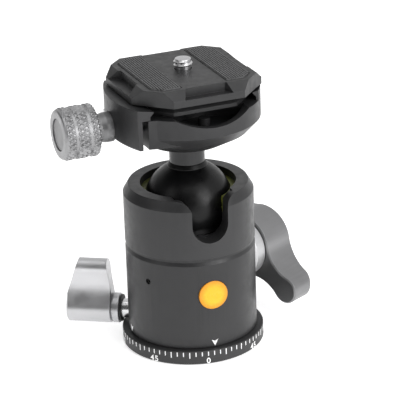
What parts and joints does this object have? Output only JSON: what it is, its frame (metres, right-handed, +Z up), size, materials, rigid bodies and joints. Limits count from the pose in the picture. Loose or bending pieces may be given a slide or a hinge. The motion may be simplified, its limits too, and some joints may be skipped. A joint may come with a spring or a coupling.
{
  "type": "tripod ball head",
  "caption": "Tripod ball head with a panning dial base, a drop notch, lobed lock knobs and a quick-release clamp holding a bevelled plate with a camera screw.",
  "frame": {"origin": "bottom centre of the dial base, on the pan axis, where the tripod socket opens", "axes": "+Z up along the pan axis; the drop notch and the badge face -Y; at rest the clamp's jaws close along a line 2.7 degrees from +X"},
  "size_m": [0.0882, 0.0632, 0.0997],
  "materials": {
    "anodised_dark": "satin dark grey anodised",
    "dial_black": "satin black anodised with white scale",
    "ball_black": "fine satin black",
    "knob_grey": "satin grey anodised",
    "knob_silver": "satin silver",
    "steel": "turned steel",
    "seat_yellow": "yellow-green hard plastic",
    "slip_plastic": "slip washer plastic",
    "badge_amber": "amber domed",
    "rubber": "matt ribbed",
    "brass": "turned"
  },
  "bodies": {
    "base": {"dial_base": "dial_black", "tripod_bush": "steel", "pan_spindle": "steel", "pan_washer": "slip_plastic", "base_screws": "steel"},
    "housing": {"lower_housing": "anodised_dark", "upper_housing": "anodised_dark", "seat_ring": "seat_yellow", "ball_cup": "steel", "badge": "badge_amber", "stop_screw": "steel"},
    "main_lock": {"main_screw": "steel", "main_collar": "knob_grey", "main_knob": "knob_grey"},
    "main_plunger": {"lock_plunger": "brass"},
    "pan_lock": {"pan_shaft": "steel", "pan_ring": "rubber", "pan_collar": "knob_silver", "pan_knob": "knob_silver"},
    "pan_brake": {"pan_shoe": "brass"},
    "ball_body": {"ball": "ball_black"},
    "tilt": {"stem_ring": "ball_black"},
    "head": {"stem": "anodised_dark", "clamp_bolt": "steel", "clamp_body": "anodised_dark", "stop_pin": "steel"},
    "jaw": {"moving_jaw": "anodised_dark", "guide_pins": "steel"},
    "jaw_knob": {"clamp_screw": "steel", "clamp_collar": "anodised_dark", "clamp_knob": "knob_grey", "clamp_cap": "knob_grey"},
    "plate_body": {"plate": "anodised_dark", "pad_left": "rubber", "pad_right": "rubber"},
    "screw": {"camera_screw": "steel"}
  },
  "joints": [
    {"name": "pan", "type": "hinge", "parent": "base", "child": "housing", "pos_m": [0, 0, 0.01], "axis": [0, 0, 1], "continuous": true},
    {"name": "main_lock_turn", "type": "hinge", "parent": "housing", "child": "main_lock", "pos_m": [0.02165, 0.0125, 0.0237], "axis": [0.866, 0.5, 0], "range_deg": [0, 180]},
    {"name": "main_plunger_slide", "type": "slide", "parent": "housing", "child": "main_plunger", "axis": [-0.866, -0.5, 0], "range_m": [0, 0.0007]},
    {"name": "pan_lock_turn", "type": "hinge", "parent": "housing", "child": "pan_lock", "pos_m": [-0.02598, 0.015, 0.0088], "axis": [-0.866, 0.5, 0], "range_deg": [0, 60]},
    {"name": "pan_shoe_slide", "type": "slide", "parent": "housing", "child": "pan_brake", "axis": [0.866, -0.5, 0], "range_m": [0, 0.00022]},
    {"name": "side_tilt", "type": "hinge", "parent": "housing", "child": "ball_body", "pos_m": [0, 0, 0.0494], "axis": [0, 1, 0], "range_deg": [-30, 30]},
    {"name": "stem_tilt", "type": "hinge", "parent": "ball_body", "child": "tilt", "pos_m": [0, 0, 0.0494], "axis": [1, 0, 0], "range_deg": [-30, 90]},
    {"name": "head_spin", "type": "hinge", "parent": "tilt", "child": "head", "pos_m": [0, 0, 0.0494], "axis": [0, 0, 1], "continuous": true},
    {"name": "jaw_slide", "type": "slide", "parent": "head", "child": "jaw", "axis": [-0.9989, -0.0471, 0], "range_m": [0, 0.0052]},
    {"name": "clamp_knob_turn", "type": "hinge", "parent": "jaw", "child": "jaw_knob", "pos_m": [-0.03, -0.00061, 0.08045], "axis": [-0.9989, -0.0471, 0], "range_deg": [0, 1440]},
    {"name": "plate_slide", "type": "slide", "parent": "head", "child": "plate_body", "axis": [0.0471, -0.9989, 0], "range_m": [-0.045, 0.045]},
    {"name": "camera_screw_turn", "type": "hinge", "parent": "plate_body", "child": "screw", "pos_m": [0.00017, 0.00124, 0.095], "axis": [0, 0, 1], "continuous": true}
  ],
  "couplings": [
    {"joint": "main_plunger_slide", "follows": "main_lock_turn", "m_per_rad": 0.00019894},
    {"joint": "pan_shoe_slide", "follows": "pan_lock_turn", "m_per_rad": 0.00019894},
    {"joint": "jaw_slide", "follows": "clamp_knob_turn", "m_per_rad": 0.00019894}
  ]
}
